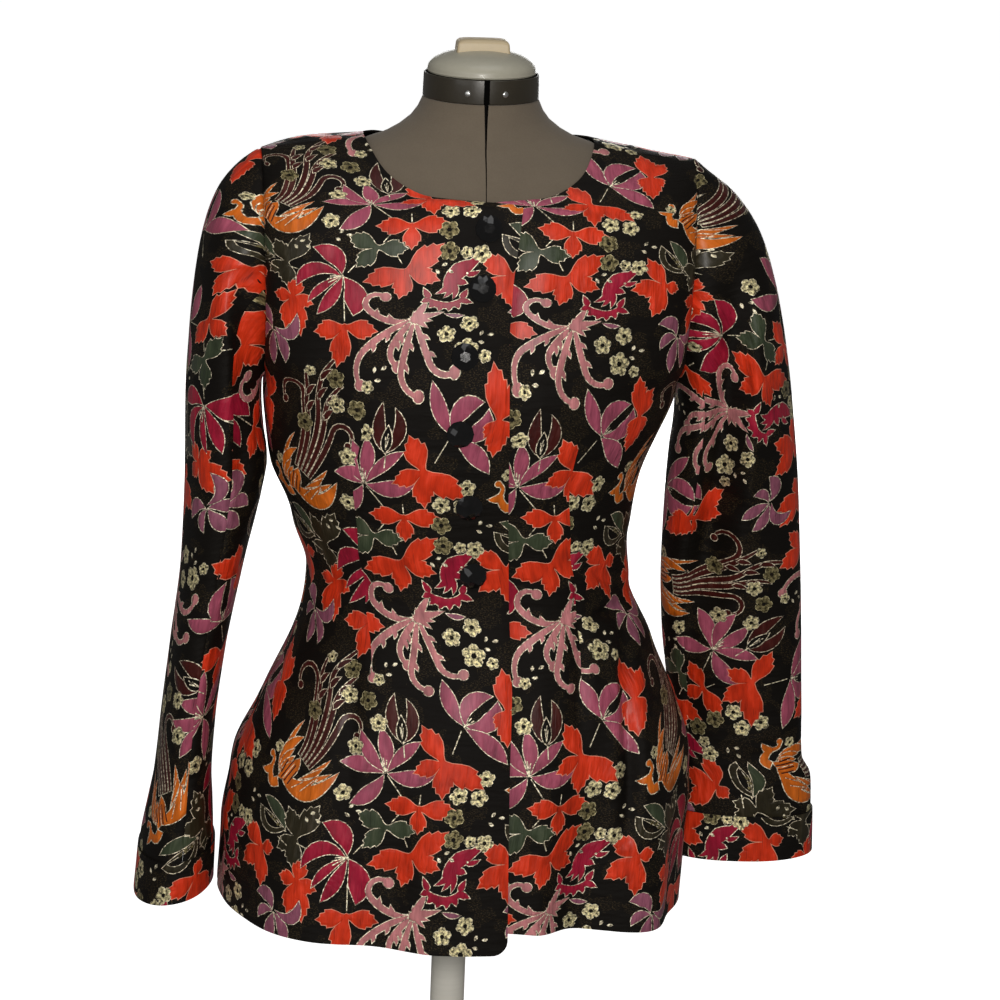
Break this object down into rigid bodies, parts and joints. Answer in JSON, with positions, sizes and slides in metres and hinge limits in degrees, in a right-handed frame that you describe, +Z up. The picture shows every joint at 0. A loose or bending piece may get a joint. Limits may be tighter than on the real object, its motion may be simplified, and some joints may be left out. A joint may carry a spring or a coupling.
{
  "type": "brocade jacket on a dress form",
  "caption": "Fitted long-sleeved brocade jacket, collarless, with padded shoulders, a buttoned lapped front and a flared skirt, worn by a limbless dress form on a plain round stand.",
  "frame": {"origin": "on the floor under the middle of the stand's round base", "axes": "+Z up, the jacket's front faces -Y, the wearer's left is +X"},
  "size_m": [0.6481, 0.3471, 0.9958],
  "materials": {
    "brocade": "near-black woven ground with red, mauve, pink, orange and green figured motifs edged in gold thread, soft satin sheen",
    "button": "black, facetted, glassy",
    "form_cloth": "plain grey-brown jersey, matt",
    "neck_band": "dark, satin",
    "neck_cap": "pale grey, satin gloss",
    "cap_grip": "cream, satin",
    "stand": "painted off-white, satin"
  },
  "bodies": {
    "root": {"front_right": "brocade", "front_left": "brocade", "back_right": "brocade", "back_left": "brocade", "sleeve_upper_right": "brocade", "sleeve_under_right": "brocade", "sleeve_upper_left": "brocade", "sleeve_under_left": "brocade", "cuff_right": "brocade", "cuff_left": "brocade", "button_1": "button", "button_2": "button", "button_3": "button", "button_4": "button", "button_5": "button", "button_6": "button", "form_body": "form_cloth", "neck_band": "neck_band", "neck_cap": "neck_cap", "cap_grip": "cap_grip", "stand_post": "stand", "stand_base": "stand"}
  },
  "joints": []
}
